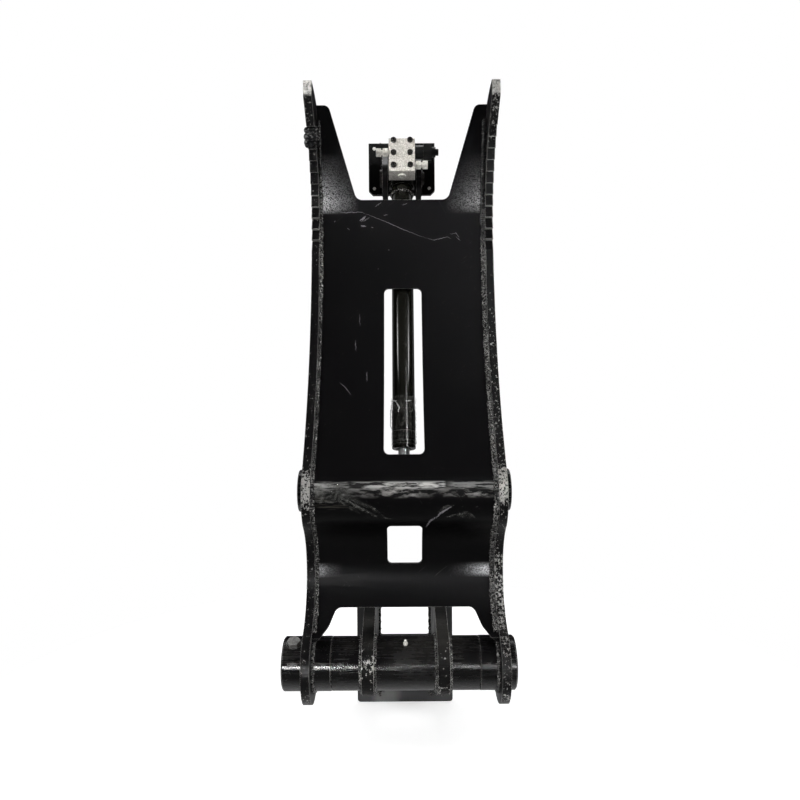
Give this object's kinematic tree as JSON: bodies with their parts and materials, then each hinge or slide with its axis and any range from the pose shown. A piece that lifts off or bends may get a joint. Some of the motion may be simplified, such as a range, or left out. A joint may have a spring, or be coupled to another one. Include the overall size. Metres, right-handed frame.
{
  "type": "excavator_thumb",
  "caption": "Weld-on hydraulic excavator thumb: two toothed curved side plates, a bent face plate with a slot, a pivot bracket and a cylinder with its valve block.",
  "frame": {"origin": "middle of the base plate's weld-on back face, which lies on the stick", "axes": "+X across the thumb, +Y into the stick's face, +Z from the pivot towards the tips"},
  "size_m": [0.477, 0.3849, 1.423],
  "materials": {
    "black_paint": "satin black paint over hot-rolled plate, worn bare on edges",
    "cylinder_paint": "glossy black paint",
    "steel": "machined",
    "zinc": "bright zinc plate",
    "valve_metal": "grey zinc-plated steel block, matt",
    "chrome": "hard chrome",
    "dark_steel": "black oxide",
    "bronze": "bronze bush",
    "black_plastic": "moulded cap",
    "seal": "polyurethane seal"
  },
  "bodies": {
    "base_bracket": {"base_plate": "black_paint", "base_lug_left": "black_paint", "base_lug_right": "black_paint", "hub_tube": "black_paint", "hub_bush_left": "bronze", "hub_bush_right": "bronze", "grease_fitting": "zinc"},
    "thumb": {"side_plate_left": "black_paint", "side_plate_right": "black_paint", "face_plate": "black_paint", "cross_tube_left": "black_paint", "cross_tube_right": "black_paint", "cross_pin": "steel", "cross_pin_clip_left": "dark_steel", "cross_pin_clip_right": "dark_steel", "pivot_boss_left": "black_paint", "pivot_boss_right": "black_paint", "main_pin": "steel", "lock_bolt": "zinc", "lock_nut": "zinc"},
    "rod": {"rod": "chrome", "rod_eye": "cylinder_paint", "rod_eye_bush": "bronze", "piston": "steel", "piston_seal": "seal", "piston_guide_ring": "bronze", "piston_nut": "steel"},
    "barrel": {"barrel": "cylinder_paint", "barrel_collar": "cylinder_paint", "gland": "cylinder_paint", "rod_wiper": "seal", "rod_seal": "seal", "rod_port": "cylinder_paint", "rod_port_cap": "black_plastic", "base_end": "cylinder_paint", "base_end_bush": "bronze", "valve_block": "valve_metal", "valve_screws": "dark_steel", "valve_plug": "dark_steel", "valve_fitting_left": "zinc", "valve_fitting_right": "zinc", "port_cap_left": "black_plastic", "port_cap_right": "black_plastic"},
    "top_bracket": {"top_plate": "black_paint", "top_lug_left": "black_paint", "top_lug_right": "black_paint", "top_bracket_bolts": "zinc", "base_pin": "steel", "base_pin_clip": "dark_steel"}
  },
  "joints": [
    {"name": "thumb_pivot", "type": "hinge", "parent": "base_bracket", "child": "thumb", "pos_m": [0, -0.305, 0.055], "axis": [1, 0, 0], "range_deg": [0, 102]},
    {"name": "rod_hinge", "type": "hinge", "parent": "thumb", "child": "rod", "pos_m": [0, -0.243, 0.405], "axis": [-1, 0, 0], "range_deg": [0, 116]},
    {"name": "rod_stroke", "type": "slide", "parent": "rod", "child": "barrel", "axis": [0, 0.2539, 0.9672], "range_m": [0, 0.5]},
    {"name": "base_pin_hinge", "type": "hinge", "parent": "barrel", "child": "top_bracket", "pos_m": [0, -0.05, 1.14], "axis": [1, 0, 0], "range_deg": [-10, 15]}
  ]
}
